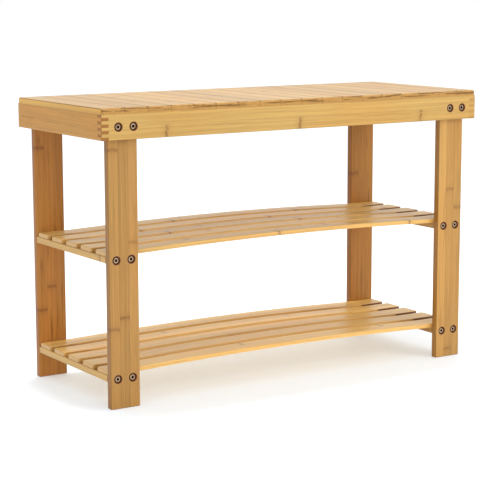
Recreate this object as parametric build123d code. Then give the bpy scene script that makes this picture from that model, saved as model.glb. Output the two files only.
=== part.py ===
from build123d import *
import math
import os

# Entryway bench in bamboo: a slatted seat on a finger-jointed frame, four flat
# legs, and two open shelves of arched slats. Millimetres, +X along the length,
# front face towards -Y, +Z up, origin on the floor under the middle of the seat.

# ---- overall sizes
length = 700.0
depth = 280.0
height = 450.0

# ---- seat
seat_slat_count = 18
seat_thickness = 9.0
seam_chamfer = 0.5
seat_edge_radius = 3.0
seat_corner_radius = 4.5

# ---- seat frame
rail_height = 38.0
rail_thickness = 12.0
finger_count = 8
rail_edge_radius = 1.2

# ---- legs
leg_width = 49.0
leg_thickness = 12.0
leg_inset = 16.0
leg_edge_radius = 1.5
foot_chamfer = 1.0

# ---- shelves
lower_shelf_height = 57.0
middle_shelf_height = 236.0
crossboard_thickness = 10.0
crossboard_edge_radius = 1.2
shelf_slat_count = 5
shelf_slat_width = 36.0
shelf_slat_thickness = 6.5
shelf_slat_rise = 5.5
shelf_slat_bend_radius = 600.0
shelf_slat_corner_radius = 4.0
shelf_slat_edge_radius = 1.5
shelf_slat_leg_gap = 0.5
shelf_slat_end_inset = 1.5

# ---- socket-head furniture screws, wood-threaded, in counterbored holes
screw_spacing = 25.0
head_diameter = 8.8
head_height = 4.0
head_edge_radius = 0.6
socket_across_flats = 4.0
socket_depth = 2.4
shank_diameter = 5.0
tip_length = 2.0
tip_diameter = 2.5
counterbore_diameter = 13.2
head_recess = 1.4
shank_clearance = 0.15
pilot_extra_depth = 0.8
seat_screw_cover = 2.2
shelf_screw_grip = 37.5

# ---- places worked out from the sizes above
seat_underside = height - seat_thickness
rail_underside = seat_underside - rail_height
front_face = -depth / 2
leg_outer_face = front_face + rail_thickness
leg_inner_face = leg_outer_face + leg_thickness
leg_centre = length / 2 - leg_inset - leg_width / 2
seat_screw_height = rail_underside + rail_height / 2
counterbore_depth = head_height + head_recess
hole_diameter = shank_diameter + 2 * shank_clearance
seat_screw_shank = rail_thickness + leg_thickness - counterbore_depth - seat_screw_cover
shelf_screw_shank = leg_thickness - counterbore_depth + shelf_screw_grip
finger_height = rail_height / finger_count

SIDES = {"left": -1, "right": 1}
SHELVES = {"middle": middle_shelf_height, "lower": lower_shelf_height}
UP = (Align.CENTER, Align.CENTER, Align.MIN)
INTO_FRONT = Rot(-90, 0, 0)


def block(x_low, x_high, y_low, y_high, z_low, z_high):
    """A box given by its lowest and highest corners."""
    centre = ((x_low + x_high) / 2, (y_low + y_high) / 2, (z_low + z_high) / 2)
    return Pos(*centre) * Box(x_high - x_low, y_high - y_low, z_high - z_low)


def crossboard_height(shelf_height):
    """Middle height of the boards that carry the slats of a shelf."""
    return shelf_height - shelf_slat_thickness - crossboard_thickness / 2


# ---- screws and their holes, made for the front and mirrored to the back

def screw(shank_length):
    """A screw pointing along +Y, with the top of its head at the origin."""
    head = Cylinder(head_diameter / 2, head_height, align=UP)
    head = fillet(head.faces().sort_by(Axis.Z)[0].edges(), head_edge_radius)
    socket_radius = socket_across_flats / 2 / math.cos(math.pi / 6)
    head -= extrude(RegularPolygon(socket_radius, 6), socket_depth)
    straight = shank_length - tip_length
    shank = Pos(0, 0, head_height) * Cylinder(shank_diameter / 2, straight, align=UP)
    tip = Cone(shank_diameter / 2, tip_diameter / 2, tip_length, align=UP)
    return INTO_FRONT * (head + shank + Pos(0, 0, head_height + straight) * tip)


def screw_hole(shank_length):
    """The space cut for a screw, from the face that its head is sunk in."""
    counterbore = Cylinder(counterbore_diameter / 2, counterbore_depth, align=UP)
    bore = Cylinder(hole_diameter / 2, counterbore_depth + shank_length + pilot_extra_depth, align=UP)
    return INTO_FRONT * (counterbore + bore)


def on_leg(x_centre, face, z, piece):
    """A pair of the piece, side by side across one leg's width."""
    offsets = (-screw_spacing / 2, screw_spacing / 2)
    return [Pos(x_centre + offset, face, z) * piece for offset in offsets]


def seat_holes(x_centre):
    return on_leg(x_centre, front_face, seat_screw_height, screw_hole(seat_screw_shank))


def shelf_holes(x_centre, z):
    return on_leg(x_centre, leg_outer_face, z, screw_hole(shelf_screw_shank))


def screw_group(face, z, shank_length):
    """The eight like screws of one level: two in each leg, front and back."""
    sunk = screw(shank_length)
    front = []
    for side in SIDES.values():
        front += on_leg(side * leg_centre, face + head_recess, z, sunk)
    back = [mirror(one, about=Plane.XZ) for one in front]
    return Compound(front + back)


# ---- seat

def seat_slat(index):
    """One board of the seat, front to back, with a V-groove where it meets the next."""
    width = length / seat_slat_count
    x_low = -length / 2 + index * width
    x_high = x_low + width
    slat = block(x_low, x_high, front_face, -front_face, seat_underside, height)
    outer_ends = []
    if index == 0:
        outer_ends.append(x_low)
    if index == seat_slat_count - 1:
        outer_ends.append(x_high)
    for x in outer_ends:
        corners = slat.edges().filter_by(Axis.Z).filter_by(lambda edge: abs(edge.center().X - x) < 0.01)
        slat = fillet(corners, seat_corner_radius)
    joined = [x for x in (x_low, x_high) if x not in outer_ends]
    rounded = slat.faces().sort_by(Axis.Z)[-1].edges().filter_by(
        lambda edge: all(abs(edge.center().X - x) > 0.01 for x in joined)
    )
    slat = fillet(rounded, seat_edge_radius)
    for x in joined:
        side = slat.faces().filter_by(Axis.X).filter_by(lambda face: abs(face.center().X - x) < 0.01)
        upper = side.edges().filter_by(lambda edge: edge.center().Z > height - seat_edge_radius)
        slat = chamfer(upper, seam_chamfer)
    return slat


# ---- seat frame

def fingers(x_side, y_side, first):
    """Every second finger of a corner joint, starting from the lowest or the next."""
    x_ends = sorted((x_side * length / 2, x_side * (length / 2 - rail_thickness)))
    y_ends = sorted((y_side * depth / 2, y_side * (depth / 2 - rail_thickness)))
    boxes = []
    for level in range(first, finger_count, 2):
        z_low = rail_underside + level * finger_height
        boxes.append(block(*x_ends, *y_ends, z_low, z_low + finger_height))
    return boxes


def softened(rail, outward):
    """A rail with its outer corners and outer lower edge rounded."""
    outer = rail.faces().sort_by(outward)[-1]
    edges = outer.edges().filter_by(Axis.Z) + outer.edges().sort_by(Axis.Z)[:1]
    return fillet(edges, rail_edge_radius)


def front_rail():
    rail = block(-length / 2, length / 2, front_face, leg_outer_face, rail_underside, seat_underside)
    rail = softened(rail, -Axis.Y)
    for side in SIDES.values():
        rail -= fingers(side, -1, 0)
        rail -= seat_holes(side * leg_centre)
    return rail


def end_rail(side):
    x_ends = sorted((side * length / 2, side * (length / 2 - rail_thickness)))
    rail = block(*x_ends, -depth / 2, depth / 2, rail_underside, seat_underside)
    rail = softened(rail, Axis.X if side > 0 else -Axis.X)
    for y_side in (-1, 1):
        rail -= fingers(side, y_side, 1)
    return rail


# ---- legs

def front_leg(side):
    centre = side * leg_centre
    ends = (centre - leg_width / 2, centre + leg_width / 2)
    leg = block(*ends, leg_outer_face, leg_inner_face, 0, seat_underside)
    leg = fillet(leg.edges().filter_by(Axis.Z), leg_edge_radius)
    leg = chamfer(leg.faces().sort_by(Axis.Z)[0].edges(), foot_chamfer)
    leg -= seat_holes(centre)
    for shelf_height in SHELVES.values():
        leg -= shelf_holes(centre, crossboard_height(shelf_height))
    return leg


# ---- shelves

def crossboard(side, shelf_height):
    """The flat board between a front and a back leg that one end of a shelf rests on."""
    centre = side * leg_centre
    middle = crossboard_height(shelf_height)
    z_ends = (middle - crossboard_thickness / 2, middle + crossboard_thickness / 2)
    ends = (centre - leg_width / 2, centre + leg_width / 2)
    board = block(*ends, leg_inner_face, -leg_inner_face, *z_ends)
    board = fillet(board.edges().filter_by(Axis.Y), crossboard_edge_radius)
    holes = shelf_holes(centre, middle)
    return board - holes - [mirror(hole, about=Plane.XZ) for hole in holes]


def arched_line(half_span, half_length):
    """Flat over the crossboards, then up to the middle through a small reverse bend."""
    radii = (half_span**2 + shelf_slat_rise**2) / (2 * shelf_slat_rise)
    share = shelf_slat_bend_radius / radii
    crown_radius = radii - shelf_slat_bend_radius
    meet_x = half_span * (1 - share)
    meet_z = shelf_slat_bend_radius + (shelf_slat_rise - crown_radius - shelf_slat_bend_radius) * share
    line = Line((-half_length, 0), (-half_span, 0))
    line += TangentArc((-half_span, 0), (-meet_x, meet_z), tangent=(1, 0))
    line += ThreePointArc((-meet_x, meet_z), (0, shelf_slat_rise), (meet_x, meet_z))
    line += TangentArc((half_span, 0), (meet_x, meet_z), tangent=(-1, 0))
    line += Line((half_span, 0), (half_length, 0))
    return line


def shelf_slat():
    """One slat of a shelf, with the underside of its flat ends at z = 0."""
    half_span = leg_centre - leg_width / 2
    half_length = leg_centre + leg_width / 2 - shelf_slat_end_inset
    underside = arched_line(half_span, half_length)
    outline = underside + Pos(0, shelf_slat_thickness) * underside
    for end in (-half_length, half_length):
        outline += Line((end, 0), (end, shelf_slat_thickness))
    slat = extrude(make_face(Plane.XZ * outline), shelf_slat_width / 2, both=True)
    slat = fillet(slat.edges().filter_by(Axis.Z), shelf_slat_corner_radius)
    upper_faces = slat.faces().filter_by(lambda face: face.normal_at().Z > 0.9)
    rim = upper_faces.edges().filter_by(
        lambda edge: abs(edge.center().X) > half_span + 1 or abs(edge.center().Y) > 1
    )
    return fillet(rim, shelf_slat_edge_radius)


def shelf_slats(shelf_height):
    """The slats of one shelf, evenly spaced between the front and back legs."""
    one = shelf_slat()
    travel = -2 * (leg_inner_face + shelf_slat_leg_gap) - shelf_slat_width
    pitch = travel / (shelf_slat_count - 1)
    z = shelf_height - shelf_slat_thickness
    return [Pos(0, -travel / 2 + index * pitch, z) * one for index in range(shelf_slat_count)]


# ---- the whole bench, one named piece at a time

def pieces():
    for index in range(seat_slat_count):
        yield f"seat_slat_{index + 1:02d}", seat_slat(index)
    rail = front_rail()
    yield "front_rail", rail
    yield "back_rail", mirror(rail, about=Plane.XZ)
    for name, side in SIDES.items():
        yield f"{name}_end_rail", end_rail(side)
        leg = front_leg(side)
        yield f"front_{name}_leg", leg
        yield f"back_{name}_leg", mirror(leg, about=Plane.XZ)
    yield "seat_screws", screw_group(front_face, seat_screw_height, seat_screw_shank)
    for shelf, shelf_height in SHELVES.items():
        for name, side in SIDES.items():
            yield f"{shelf}_shelf_{name}_crossboard", crossboard(side, shelf_height)
        for index, slat in enumerate(shelf_slats(shelf_height)):
            yield f"{shelf}_shelf_slat_{index + 1}", slat
        middle = crossboard_height(shelf_height)
        yield f"{shelf}_shelf_screws", screw_group(leg_outer_face, middle, shelf_screw_shank)


os.makedirs("parts", exist_ok=True)
for node, piece in pieces():
    export_step(piece, f"parts/{node}.step")
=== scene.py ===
import math
import random

import bpy
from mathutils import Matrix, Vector

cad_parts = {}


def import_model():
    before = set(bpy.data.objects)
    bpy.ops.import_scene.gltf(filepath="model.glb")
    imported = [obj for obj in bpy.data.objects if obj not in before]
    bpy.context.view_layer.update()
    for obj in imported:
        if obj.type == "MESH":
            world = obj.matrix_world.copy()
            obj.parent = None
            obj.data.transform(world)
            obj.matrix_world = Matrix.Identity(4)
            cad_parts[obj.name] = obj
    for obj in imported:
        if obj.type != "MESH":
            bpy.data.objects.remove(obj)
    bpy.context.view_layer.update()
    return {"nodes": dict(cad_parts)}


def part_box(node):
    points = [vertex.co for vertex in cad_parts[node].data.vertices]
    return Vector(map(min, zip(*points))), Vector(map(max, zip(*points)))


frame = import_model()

# The CAD nodes' own coordinates are the frame's, in metres. The materials work in millimetres.
MM = 1000.0

# ---- the screws, as the CAD has them: in pairs, one on each side of a leg's middle (mm)
HEAD_RADIUS = 4.4
SOCKET_RADIUS = 2.2
BORE_RADIUS = 6.6
leg_low, leg_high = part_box("front_right_leg")
LEG_CENTRE = (leg_low[0] + leg_high[0]) / 2 * MM
SCREW_SPACING = 2 * (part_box("seat_screws")[1][0] * MM - LEG_CENTRE - HEAD_RADIUS)
SEAT_SCREWS = ("seat_screws",)
SHELF_SCREWS = ("middle_shelf_screws", "lower_shelf_screws")

# ---- the shelves: how much of a slat's length lies on a crossboard, and half the shelf's depth (mm)
board_low, board_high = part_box("middle_shelf_right_crossboard")
BEARING_LENGTH = (board_high[0] - board_low[0]) * MM
SHELF_HALF = board_high[1] * MM

# ---- colours that more than one board shares (linear), and how far one board's colour is from its kind's
DARK_END = (0.32, 0.130, 0.028)
PALE_END = (0.46, 0.25, 0.070)
LEFT_TINT = (1.06, 1.03, 0.95)
RIGHT_TINT = (0.72, 0.60, 0.46)
END_RAIL_COLOUR = (0.475, 0.232, 0.041)
# painted shade between the shelf slats, on their sides and on the crossboards' tops
PAINTED_GAP_SHADE = (0.17, 0.058, 0.019, 1.0)
NODE_MARK = (0.17, 0.062, 0.018, 1.0)
# painted shade inside the counterbores round the screws
BORE_SHADE = (0.27, 0.105, 0.045, 1.0)
TINT_RANGE = (0.93, 1.07)
TINT_SEED = 1000

# ---- how much of a strip's tone is its own, and how much comes from streaks and from fibres: one in all
STRIP_SHARE = 0.40
STREAK_SHARE = 0.34
FIBRE_SHARE = 0.26
DARKEST = 0.67
PALEST = 1.22

# ---- bamboo's nodes: how far apart, how much they waver, and where their line and patch fade out (mm)
NODE_SPACING = (235, 285)
NODE_WAVER = 7.0
NODE_LINE = (4.2, 0.6)
NODE_PATCH = (15.0, 2.0)

# ---- patterns in the bamboo: how fast they change per mm in each direction, their detail and roughness
STREAKS = ((0.003, 0.30, 0.30), 3.0, 0.60)
FIBRES = ((0.012, 1.5, 1.5), 3.0, 0.65)
FLECKS = ((0.06, 2.2, 2.2), 1.0, 0.50)
CLOUDS = ((0.004, 0.012, 0.012), 1.0, 0.50)
STAINS = ((0.010, 0.14, 0.14), 3.0, 0.65)
RUBBING = ((0.03, 0.03, 0.03), 3.0, 0.60)
NODE_WAVE = ((0.25, 0.25, 0.0), 2.0, 0.60)
NODE_BREAKS = ((0.50, 0.50, 0.35), 2.0, 0.70)
SEAT_LONG_RUNS = ((0.020, 0.36, 0.0), 3.0, 0.60)
SEAT_SHORT_RUNS = ((0.12, 0.9, 0.0), 2.0, 0.60)

# ---- the kinds of board
# grain: the axis of the fibres; its order below is along, across and through the board
# strip: about how wide and how thick the strips are that are glued into the board (mm)
# side: tints the narrow sides; end: the colour of the cut ends
# stain, arris, gloss: how strongly it is stained, how dark its edges are, how much it mirrors
# seat: its ends make the front and the back of the seat, and there are seams beside it
# dusk: painted shade on its top in the gaps between the slats; bearing: painted shade on its sides in those
# gaps
# screws: the nodes whose screws go through it
GRAIN_ORDER = {"X": (0, 1, 2), "Y": (1, 0, 2), "Z": (2, 0, 1)}
PLAIN = {
    "side": (1.0, 1.0, 1.0), "stain": 0.30, "arris": 0.20, "gloss": 0.20,
    "seat": False, "dusk": 0.0, "bearing": False, "screws": ()}
# the rails' darker edges are partly painted shade where they meet the seat
RAIL = dict(PLAIN, strip=(12.0, 19.0), stain=0.20, arris=0.40)
# the legs' narrow sides are darkened: painted shade
LEG = dict(PLAIN, grain="Z", strip=(16.5, 12.0), side=(0.66, 0.58, 0.44), end=(0.30, 0.15, 0.05),
           screws=SHELF_SCREWS)
CROSSBOARD = dict(PLAIN, grain="Y", strip=(16.5, 12.0), end=(0.36, 0.18, 0.06), stain=0.25)

KINDS = {
    # part of a node's name, and its kind
    "seat_slat": dict(
        PLAIN, grain="Y", colour=(0.437, 0.274, 0.101), strip=(19.5, 9.0), side=(1.45, 1.28, 0.70),
        end=(0.48, 0.250, 0.064), stain=0.15, arris=0.12, seat=True),
    "left_end_rail": dict(RAIL, grain="Y", colour=END_RAIL_COLOUR, end=DARK_END, stain=0.70),
    "right_end_rail": dict(RAIL, grain="Y", colour=END_RAIL_COLOUR, end=PALE_END, stain=0.45),
    "front_rail": dict(RAIL, grain="X", colour=(0.585, 0.355, 0.105), end=DARK_END, screws=SEAT_SCREWS),
    "back_rail": dict(RAIL, grain="X", colour=(0.59, 0.36, 0.108), end=PALE_END, screws=SEAT_SCREWS),
    "front_left_leg": dict(LEG, colour=(0.445, 0.233, 0.063), stain=0.5),
    "front_right_leg": dict(LEG, colour=(0.505, 0.275, 0.076), stain=0.5),
    "back_left_leg": dict(LEG, colour=(0.463, 0.204, 0.044), stain=1.0),
    "back_right_leg": dict(LEG, colour=(0.375, 0.168, 0.031), stain=1.0),
    "left_crossboard": dict(CROSSBOARD, colour=(0.57, 0.355, 0.115), side=LEFT_TINT, dusk=0.6),
    "right_crossboard": dict(CROSSBOARD, colour=(0.60, 0.38, 0.130), side=RIGHT_TINT, dusk=0.9),
    "shelf_slat": dict(
        PLAIN, grain="X", colour=(0.76, 0.49, 0.150), strip=(18.0, 8.0), side=(1.06, 0.95, 0.80),
        end=(0.56, 0.33, 0.12), stain=0.35, gloss=0.55, bearing=True),
}


def shade(colour, amount):
    """A colour made lighter or darker."""
    return tuple(min(1.0, part * amount) for part in colour[:3]) + (1.0,)


def warm(colour, amount):
    """A colour made darker and browner."""
    return (colour[0] * amount, colour[1] * amount * 0.88, colour[2] * amount * 0.74, 1.0)


class Tree:
    """A material's node tree, with short ways to add nodes and join them."""

    def __init__(self, name):
        self.material = bpy.data.materials.new(name)
        self.material.use_nodes = True
        self.nodes = self.material.node_tree.nodes
        self.links = self.material.node_tree.links
        self.shader = self.nodes["Principled BSDF"]

    def put(self, socket, value):
        if isinstance(value, bpy.types.NodeSocket):
            self.links.new(value, socket)
        else:
            socket.default_value = value

    def add(self, node_type, inputs=None, **settings):
        node = self.nodes.new(node_type)
        for key, value in settings.items():
            setattr(node, key, value)
        for key, value in (inputs or {}).items():
            self.put(node.inputs[key], value)
        return node

    def math(self, operation, *values):
        return self.add("ShaderNodeMath", dict(enumerate(values)), operation=operation).outputs[0]

    def plus(self, first, second):
        return self.math("ADD", first, second)

    def minus(self, first, second):
        return self.math("SUBTRACT", first, second)

    def times(self, first, *others):
        for other in others:
            first = self.math("MULTIPLY", first, other)
        return first

    def scaled(self, value, factor, offset):
        """The value times a factor, plus an offset."""
        return self.math("MULTIPLY_ADD", value, factor, offset)

    def unsigned(self, value):
        """The value without its sign."""
        return self.math("ABSOLUTE", value)

    def smaller(self, first, second):
        return self.math("MINIMUM", first, second)

    def larger(self, first, second):
        return self.math("MAXIMUM", first, second)

    def fade(self, value, start, end):
        """0 before start and 1 after end, smoothly; start may be above end."""
        inputs = {"Value": value, "From Min": start, "From Max": end}
        return self.add("ShaderNodeMapRange", inputs, interpolation_type="SMOOTHSTEP").outputs[0]

    def vector(self, x, y, z):
        return self.add("ShaderNodeCombineXYZ", {0: x, 1: y, 2: z}).outputs[0]

    def parts(self, vector):
        return self.add("ShaderNodeSeparateXYZ", {0: vector}).outputs

    def in_mm(self, place, axes):
        parts = self.parts(place)
        return [self.times(parts[axis], MM) for axis in axes]

    def noise(self, vector, detail, roughness, scale=1.0):
        inputs = {"Vector": vector, "Scale": scale, "Detail": detail, "Roughness": roughness}
        return self.add("ShaderNodeTexNoise", inputs).outputs["Fac"]

    def pattern(self, place, pattern):
        """Noise on a place in mm, with its own rate of change in each direction."""
        rates, detail, roughness = pattern
        stretched = self.vector(*(self.times(value, rate) for value, rate in zip(place, rates)))
        return self.noise(stretched, detail, roughness)

    def mix(self, factor, first, second, blend_type="MIX"):
        node = self.nodes.new("ShaderNodeMix")
        node.data_type = "RGBA"
        node.blend_type = blend_type
        self.put(node.inputs[0], factor)
        self.put(node.inputs[6], first)
        self.put(node.inputs[7], second)
        return node.outputs[2]

    def tint(self, colour, by):
        return self.mix(1.0, colour, by, "MULTIPLY")

    def relief(self, height, strength, depth):
        """Bumps on the surface, with their depth in metres."""
        inputs = {"Strength": strength, "Distance": depth, "Height": height}
        self.put(self.shader.inputs["Normal"], self.add("ShaderNodeBump", inputs).outputs[0])

    def hole_distance(self, x, z, rows):
        """Distance from the axis of the nearest screw, which lies along Y; rows are the screws' heights."""
        aside = self.minus(self.unsigned(self.minus(self.unsigned(x), LEG_CENTRE)), SCREW_SPACING / 2)
        above = self.unsigned(self.minus(z, rows[0]))
        for row in rows[1:]:
            above = self.smaller(above, self.unsigned(self.minus(z, row)))
        return self.math("SQRT", self.plus(self.times(aside, aside), self.times(above, above)))


class Bamboo(Tree):
    """Strip-laminated bamboo under clear satin varnish, cut to one board. Places are in mm."""

    def __init__(self, node, kind, seed):
        super().__init__("bamboo_" + node)
        self.kind = kind
        self.seed = seed
        self.colour = shade(kind["colour"], random.Random(TINT_SEED + seed).uniform(*TINT_RANGE))
        self.rng = random.Random(seed)
        self.find_place(node)
        self.find_pattern_place()
        body = self.wood()
        body = self.nodes_across(body)
        body = self.narrow_sides(body)
        body = self.cut_ends(body)
        body = self.arrises(body)
        body = self.seams_and_gaps(body)
        body = self.shade_in_bores(body)
        self.varnish(body)

    def find_place(self, node):
        """Where a point is on the board: along, across and through it, and how far from its sides."""
        order = GRAIN_ORDER[self.kind["grain"]]
        low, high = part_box(node)
        self.low = [low[axis] * MM for axis in order]
        self.high = [high[axis] * MM for axis in order]
        place = self.add("ShaderNodeTexCoord").outputs
        self.xyz = self.in_mm(place["Object"], (0, 1, 2))
        self.along, self.across, self.through = (self.xyz[axis] for axis in order)
        normal = self.parts(place["Normal"])
        self.up = normal[2]
        self.is_end = self.fade(self.unsigned(normal[order[0]]), 0.55, 0.70)
        self.is_side = self.fade(self.unsigned(normal[order[1]]), 0.60, 0.85)
        self.gaps = []
        for value, start, stop in zip((self.along, self.across, self.through), self.low, self.high):
            self.gaps.append(self.smaller(self.minus(value, start), self.minus(stop, value)))

    def find_pattern_place(self):
        """Each board starts at its own place in the pattern, and its fibres wander a little."""
        wander = 1.5
        self.u = self.plus(self.along, self.rng.uniform(0, 4000))
        drift = self.noise(self.vector(self.times(self.u, 0.006), self.rng.uniform(0, 90), 0.0), 1.0, 0.5)
        drift = self.scaled(drift, 2 * wander, -wander)
        self.v = self.plus(self.plus(self.across, drift), self.rng.uniform(0, 400))
        self.w = self.plus(self.plus(self.through, drift), self.rng.uniform(0, 400))

    def from_board(self, pattern):
        return self.pattern((self.u, self.v, self.w), pattern)

    def strips(self, value, side, width):
        """Which of the board's glued strips a place is in, and how much of a glue line it shows."""
        low, high = self.low[side], self.high[side]
        count = max(1, round((high - low) / width))
        width = (high - low) / count
        cell = self.math("DIVIDE", self.minus(value, low), width)
        index = self.smaller(self.larger(self.math("FLOOR", cell), 0.0), count - 1.0)
        joint = self.math("ROUND", cell)
        gap = self.times(self.unsigned(self.minus(cell, joint)), width)
        inner = self.times(self.math("GREATER_THAN", joint, 0.5), self.math("LESS_THAN", joint, count - 0.5))
        return index, self.times(self.fade(gap, 0.55, 0.15), inner)

    def wood(self):
        """Strips in tones of their own, with streaks, fibres, stains, and dark glue between them."""
        index_v, glue_v = self.strips(self.across, 1, self.kind["strip"][0])
        index_w, glue_w = self.strips(self.through, 2, self.kind["strip"][1])
        index = self.vector(index_v, index_w, float(self.seed))
        chance = self.add("ShaderNodeTexWhiteNoise", {"Vector": index}).outputs["Color"]
        self.chance = self.add("ShaderNodeSeparateColor", {0: chance}).outputs
        self.glue = self.larger(glue_v, glue_w)
        self.fibres = self.from_board(FIBRES)

        tone = self.times(self.chance[0], STRIP_SHARE)
        tone = self.scaled(self.fade(self.from_board(STREAKS), 0.32, 0.68), STREAK_SHARE, tone)
        tone = self.scaled(self.fade(self.fibres, 0.34, 0.66), FIBRE_SHARE, tone)
        body = self.mix(tone, shade(self.colour, DARKEST), shade(self.colour, PALEST))
        clouded = self.fade(self.from_board(CLOUDS), 0.35, 0.70)
        body = self.mix(clouded, body, self.tint(body, (1.0, 0.93, 0.84, 1)))
        stained = self.times(self.fade(self.from_board(STAINS), 0.56, 0.74), self.kind["stain"])
        body = self.mix(stained, body, warm(self.colour, 0.55))
        flecked = self.times(self.fade(self.from_board(FLECKS), 0.62, 0.78), 0.30)
        body = self.mix(flecked, body, warm(self.colour, 0.45))
        return self.mix(self.times(self.glue, 0.34), body, warm(self.colour, 0.48))

    def nodes_across(self, body):
        """Bamboo's nodes: a broken brown smudge right across one strip, with a redder patch round it."""
        spacing = self.rng.uniform(*NODE_SPACING)
        place = (self.v, self.w, self.u)
        reach = self.plus(self.math("DIVIDE", self.u, spacing), self.chance[1])
        from_node = self.scaled(self.math("FRACT", reach), spacing, -spacing / 2)
        from_node = self.plus(from_node, self.times(self.pattern(place, NODE_WAVE), NODE_WAVER))
        distance = self.unsigned(from_node)
        seen = self.fade(self.chance[2], 0.40, 0.60)
        broken = self.fade(self.pattern(place, NODE_BREAKS), 0.32, 0.56)
        self.node_line = self.times(self.fade(distance, *NODE_LINE), seen, broken)
        patch = self.times(self.fade(distance, *NODE_PATCH), seen, self.fibres)
        body = self.mix(self.times(patch, 0.50), body, warm(self.colour, 0.66))
        return self.mix(self.times(self.node_line, 0.66), body, NODE_MARK)

    def narrow_sides(self, body):
        """The narrow sides get a tint, on most boards their own colour and on the legs painted shade;
        between the shelf slats they get painted shade.
        """
        body = self.mix(self.is_side, body, self.tint(body, self.kind["side"] + (1.0,)))
        if not self.kind["bearing"]:
            return body
        # painted shade: darkest on the crossboards, most of all on the right one; the shelf's outer sides
        # get none
        everywhere = 0.28
        on_left = 0.10
        more_on_right = 0.60
        at_right = self.fade(self.along, -50.0, 50.0)
        dark = self.fade(self.gaps[0], BEARING_LENGTH + 3.0, BEARING_LENGTH - 3.0)
        dark = self.times(dark, self.scaled(at_right, more_on_right, on_left))
        inner = self.fade(self.unsigned(self.across), SHELF_HALF - 1.5, SHELF_HALF - 3.5)
        return self.mix(self.times(inner, self.is_side, self.plus(dark, everywhere)), body, PAINTED_GAP_SHADE)

    def cut_ends(self, body):
        """Cut ends are darker, with the fibre bundles as dots, and streaks on those of the seat."""
        dot_rate = 0.9
        place = self.vector(self.times(self.v, dot_rate), self.times(self.w, dot_rate), 0.0)
        inputs = {"Vector": place, "Scale": 1.0, "Randomness": 0.9}
        dots = self.add("ShaderNodeTexVoronoi", inputs).outputs["Distance"]
        colour = shade(self.kind["end"], 1.0)
        end = self.mix(self.fade(dots, 0.10, 0.34), shade(colour, 0.62), colour)
        if self.kind["seat"]:
            end = self.seat_end(colour)
        return self.mix(self.is_end, body, end)

    def seat_end(self, colour):
        """The front and back of the seat: long broken brown streaks that run on from slat to slat."""
        x, z = self.xyz[0], self.xyz[2]
        low, high = self.low[2], self.high[2]
        long_run = self.pattern((x, z, x), SEAT_LONG_RUNS)
        short_run = self.pattern((x, z, x), SEAT_SHORT_RUNS)
        thickness = high - low
        upper = self.fade(z, low + 0.15 * thickness, low + 0.42 * thickness)
        dark = self.times(self.fade(long_run, 0.50, 0.55), upper, self.fade(short_run, 0.32, 0.46))
        end = self.mix(self.fade(short_run, 0.35, 0.65), shade(colour, 0.84), shade(colour, 1.08))
        return self.mix(self.times(dark, 0.88), end, warm(colour, 0.34))

    def arrises(self, body):
        """Edges are darker, partly from varnish and handling and partly as painted shade along the joints,
        with a few pale rubbed places.
        """
        # the middle one of the three gaps is the distance from the board's nearest edge
        nearer = self.smaller(self.gaps[0], self.gaps[1])
        farther = self.larger(self.gaps[0], self.gaps[1])
        edge_distance = self.larger(nearer, self.smaller(farther, self.gaps[2]))
        at_edge = self.fade(edge_distance, 1.7, 0.3)
        body = self.mix(self.times(at_edge, self.kind["arris"]), body, warm(self.colour, 0.55))
        rubbed = self.times(at_edge, self.fade(self.from_board(RUBBING), 0.58, 0.70), 0.35)
        return self.mix(rubbed, body, shade(self.colour, 1.20))

    def seams_and_gaps(self, body):
        """Painted shade in the seams beside a seat slat, and painted shade on top of a crossboard between
        the shelf slats.
        """
        if self.kind["seat"]:
            # painted shade in the grooves between the seat slats
            in_seam = self.times(self.fade(self.gaps[1], 1.8, 0.6), self.fade(self.up, 0.40, 0.65))
            body = self.mix(in_seam, body, warm(self.colour, 0.24))
        if self.kind["dusk"]:
            # painted shade on the crossboard's top between the slats
            inside = self.times(self.fade(self.up, 0.5, 0.9), self.fade(self.gaps[1], 1.4, 4.0))
            body = self.mix(self.times(inside, self.kind["dusk"]), body, PAINTED_GAP_SHADE)
        return body

    def shade_in_bores(self, body):
        """Painted shade inside the counterbores round the screws."""
        if not self.kind["screws"]:
            return body
        rows = []
        for screws in self.kind["screws"]:
            rows.append((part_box(screws)[0][2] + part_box(screws)[1][2]) / 2 * MM)
        radius = self.hole_distance(self.xyz[0], self.xyz[2], rows)
        return self.mix(self.fade(radius, BORE_RADIUS + 1.0, BORE_RADIUS - 0.1), body, BORE_SHADE)

    def varnish(self, body):
        """The finished surface: the colour under a thin clear coat, with fibres and glue lines in relief."""
        smoothest = 0.30
        fibres_add = 0.16
        ends_add = 0.16
        rough = self.scaled(self.fibres, fibres_add, smoothest)
        height = self.scaled(self.fibres, 0.5, self.times(self.glue, -0.9))
        height = self.scaled(self.node_line, 0.8, height)
        shader = self.shader.inputs
        self.put(shader["Base Color"], body)
        self.put(shader["Roughness"], self.scaled(self.is_end, ends_add, rough))
        self.relief(height, strength=0.35, depth=0.00025)
        shader["Specular IOR Level"].default_value = self.kind["gloss"]
        shader["Coat Weight"].default_value = 0.05
        shader["Coat Roughness"].default_value = 0.18


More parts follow.
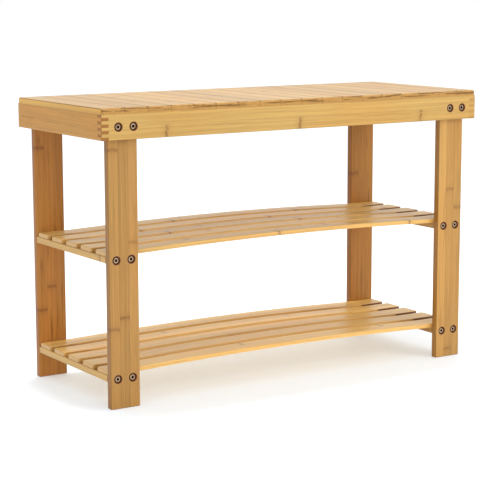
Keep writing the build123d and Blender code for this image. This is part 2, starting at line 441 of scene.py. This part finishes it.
def furniture_screw(name, row):
    """Bronze-toned plating on a screw head, with painted shade inside its hexagonal socket and round its
    rim.
    """
    tree = Tree(name)
    place = tree.add("ShaderNodeTexCoord").outputs["Object"]
    x, z = tree.in_mm(place, (0, 2))
    patches = tree.noise(place, 3.0, 0.6, 260.0)
    marks = tree.noise(place, 2.0, 0.5, 1900.0)
    radius = tree.hole_distance(x, z, [row])
    colour = tree.mix(tree.fade(patches, 0.35, 0.70), (0.50, 0.35, 0.22, 1), (0.29, 0.18, 0.10, 1))
    # painted shade inside the hexagonal socket
    in_socket = tree.fade(radius, SOCKET_RADIUS + 0.4, SOCKET_RADIUS - 0.2)
    colour = tree.mix(in_socket, colour, (0.05, 0.03, 0.02, 1))
    # painted shade round the rim of the head, where it meets the counterbore
    at_rim = tree.fade(radius, HEAD_RADIUS - 0.9, HEAD_RADIUS)
    colour = tree.mix(at_rim, colour, (0.12, 0.07, 0.045, 1))
    tree.put(tree.shader.inputs["Base Color"], colour)
    tree.put(tree.shader.inputs["Roughness"], tree.scaled(patches, 0.25, 0.16))
    tree.relief(marks, strength=0.12, depth=0.00008)
    tree.shader.inputs["Metallic"].default_value = 1.0
    return tree.material


for number, (name, obj) in enumerate(sorted(frame["nodes"].items())):
    if name.endswith("screws"):
        low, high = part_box(name)
        material = furniture_screw("plated_" + name, (low[2] + high[2]) / 2 * MM)
    else:
        kind = next(kind for part, kind in KINDS.items() if part in name)
        material = Bamboo(name, kind, number).material
    obj.data.materials.clear()
    obj.data.materials.append(material)


# ---- floor, light and camera

def floor():
    """A pale floor that carries on past everything the camera sees, and lights its own shadows a little."""
    half = 15.0
    corners = [(-half, -half, 0), (half, -half, 0), (half, half, 0), (-half, half, 0)]
    mesh = bpy.data.meshes.new("floor")
    mesh.from_pydata(corners, [], [(0, 1, 2, 3)])
    obj = bpy.data.objects.new("floor", mesh)
    bpy.context.scene.collection.objects.link(obj)
    tree = Tree("pale_floor")
    place = tree.add("ShaderNodeTexCoord").outputs["Object"]
    mottle = tree.noise(place, 3.0, 0.5, 6.0)
    shader = tree.shader.inputs
    tree.put(shader["Base Color"], tree.mix(mottle, (0.67, 0.72, 0.77, 1), (0.70, 0.75, 0.80, 1)))
    shader["Emission Color"].default_value = (0.93, 0.97, 1.0, 1)
    shader["Emission Strength"].default_value = 0.35
    shader["Roughness"].default_value = 0.6
    mesh.materials.append(tree.material)


def softbox(name, place, aim, size, power, colour):
    """A large soft lamp that faces the point it is aimed at."""
    data = bpy.data.lights.new(name, "AREA")
    data.shape = "RECTANGLE"
    data.size, data.size_y = size
    data.energy = power
    data.color = colour
    lamp = bpy.data.objects.new(name, data)
    bpy.context.scene.collection.objects.link(lamp)
    lamp.location = place
    lamp.rotation_euler = (Vector(aim) - Vector(place)).to_track_quat("-Z", "Y").to_euler()


def camera():
    """A long lens from the front left, a little above the seat."""
    azimuth = math.radians(32.57)
    elevation = math.radians(9.11)
    roll = math.radians(0.16)
    distance = 2.645
    aim = Vector((-0.025, 0.0, 0.212))
    level = math.cos(elevation)
    forward = Vector((math.sin(azimuth) * level, math.cos(azimuth) * level, -math.sin(elevation)))
    data = bpy.data.cameras.new("camera")
    data.sensor_width = 36.0
    data.lens = 121.5
    data.clip_end = 60.0
    obj = bpy.data.objects.new("camera", data)
    bpy.context.scene.collection.objects.link(obj)
    obj.location = aim - forward * distance
    obj.rotation_euler = forward.to_track_quat("-Z", "Y").to_euler()
    obj.rotation_euler.rotate_axis("Z", -roll)
    bpy.context.scene.camera = obj


def world():
    """An even white room."""
    room = bpy.data.worlds.new("room")
    room.use_nodes = True
    background = room.node_tree.nodes["Background"].inputs
    background["Color"].default_value = (1.0, 1.0, 1.0, 1)
    background["Strength"].default_value = 1.0
    bpy.context.scene.world = room


floor()
world()
softbox("key", (1.5, -2.4, 1.6), aim=(0.1, 0, 0.25), size=(1.4, 1.1), power=24, colour=(1.0, 0.97, 0.94))
softbox("top", (-0.15, 0.25, 2.4), aim=(0, 0, 0.2), size=(0.34, 0.28), power=33, colour=(1.0, 0.97, 0.95))
camera()
bpy.context.scene.view_settings.view_transform = "Standard"
